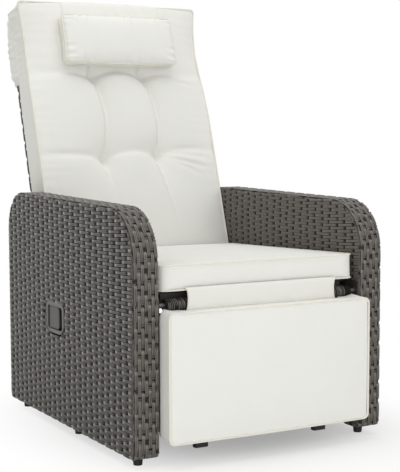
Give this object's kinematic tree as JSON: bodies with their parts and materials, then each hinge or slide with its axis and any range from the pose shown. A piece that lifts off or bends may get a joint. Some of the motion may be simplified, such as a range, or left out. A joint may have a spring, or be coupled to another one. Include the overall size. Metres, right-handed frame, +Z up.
{
  "type": "reclining garden armchair",
  "caption": "Woven resin reclining garden armchair with padded seat, tufted leaning back, head pillow, swing-up footrest and side pull handle.",
  "frame": {"origin": "on the floor, under the middle of the whole chair's box with the back upright and the footrest down", "axes": "+Z up, the sitter faces -Y, +X is the sitter's left; the pull handle is at -X"},
  "size_m": [0.6625, 0.9962, 1.0935],
  "materials": {
    "wicker": "flat grey-brown resin strand with fine lengthwise ribs",
    "frame": "dark brown powder coat, satin",
    "cushion": "off-white woven polyester",
    "piping": "ivory corded piping",
    "handle": "dark grey moulded plastic",
    "glide": "black moulded plastic",
    "bumper": "black rubber",
    "zinc": "zinc plated",
    "spring_body": "black lacquer",
    "rod": "ground and chromed",
    "cable": "black sleeve"
  },
  "bodies": {
    "base": {"left_arm_weave": "wicker", "right_arm_weave": "wicker", "seat_deck": "wicker", "left_arm_hoops": "frame", "right_arm_hoops": "frame", "left_arm_struts": "frame", "right_arm_struts": "frame", "arm_mount_rails": "frame", "foot_plates": "zinc", "foot_glides": "glide", "left_side_plate": "frame", "right_side_plate": "frame", "seat_side_rails": "frame", "seat_front_rail": "frame", "seat_rear_rail": "frame", "frame_bolts": "zinc", "frame_nuts": "zinc", "rear_stretcher": "frame", "handle_cup": "handle", "handle_pin": "zinc", "handle_leaf_spring": "zinc", "release_cable": "cable", "cable_grommet": "bumper", "spring_cross_tube": "frame", "spring_bracket": "frame", "bracket_pins": "zinc", "cable_anchor": "zinc", "seat_cushion": "cushion", "seat_flap": "cushion"},
    "backrest": {"back_pivot_tube": "frame", "back_pivot_pins": "zinc", "back_hoop": "frame", "back_cross_rails": "frame", "back_weave": "wicker", "back_levers": "frame", "link_rear_pins": "zinc", "spring_lever": "frame", "spring_lever_pin": "zinc", "back_cushion": "cushion", "cushion_hood": "cushion", "head_pillow": "cushion", "pillow_flap": "cushion"},
    "footrest": {"footrest_top_rail": "frame", "footrest_rail_wrap": "wicker", "footrest_pivot_pins": "zinc", "footrest_hoop": "frame", "footrest_weave": "wicker", "footrest_bumpers": "bumper", "foot_levers": "frame", "link_front_pins": "zinc", "footrest_cushion": "cushion"},
    "left_link": {"left_link_bar": "zinc"},
    "right_link": {"right_link_bar": "zinc"},
    "spring_cylinder": {"gas_cylinder": "spring_body"},
    "spring_rod": {"gas_rod": "rod"},
    "handle": {"handle_paddle": "handle"},
    "release": {"release_lever": "zinc"}
  },
  "joints": [
    {"name": "back_recline", "type": "hinge", "parent": "base", "child": "backrest", "pos_m": [0, 0.25523, 0.352], "axis": [-1, 0, 0], "range_deg": [0, 35]},
    {"name": "footrest_swing", "type": "hinge", "parent": "base", "child": "footrest", "pos_m": [0, -0.42677, 0.356], "axis": [-1, 0, 0], "range_deg": [0, 78], "deforming": ["seat_flap"]},
    {"name": "left_link_turn", "type": "hinge", "parent": "backrest", "child": "left_link", "pos_m": [0, 0.2853, 0.25663], "axis": [1, 0, 0], "range_deg": [0, 35]},
    {"name": "right_link_turn", "type": "hinge", "parent": "backrest", "child": "right_link", "pos_m": [0, 0.2853, 0.25663], "axis": [1, 0, 0], "range_deg": [0, 35]},
    {"name": "spring_tilt", "type": "hinge", "parent": "base", "child": "spring_cylinder", "pos_m": [0, -0.14477, 0.28795], "axis": [1, 0, 0], "range_deg": [0, 2.04]},
    {"name": "rod_slide", "type": "slide", "parent": "spring_cylinder", "child": "spring_rod", "axis": [0, -0.9992, 0.0399], "range_m": [0, 0.04621]},
    {"name": "handle_pull", "type": "hinge", "parent": "base", "child": "handle", "pos_m": [-0.3255, 0.03223, 0.2785], "axis": [0, 0, -1], "range_deg": [0, 25], "stiffness_Nm_per_rad": 0.15, "springref_deg": -20.05},
    {"name": "release_turn", "type": "hinge", "parent": "base", "child": "release", "pos_m": [0, -0.17677, 0.29995], "axis": [1, 0, 0], "range_deg": [0, 12.5]}
  ],
  "couplings": [
    {"joint": "footrest_swing", "follows": "back_recline", "ratio": 2.2286},
    {"joint": "left_link_turn", "follows": "back_recline", "ratio": 1},
    {"joint": "right_link_turn", "follows": "back_recline", "ratio": 1},
    {"joint": "spring_tilt", "follows": "back_recline", "ratio": 0.058388},
    {"joint": "rod_slide", "follows": "back_recline", "m_per_rad": 0.075632},
    {"joint": "release_turn", "follows": "handle_pull", "ratio": 0.5}
  ]
}
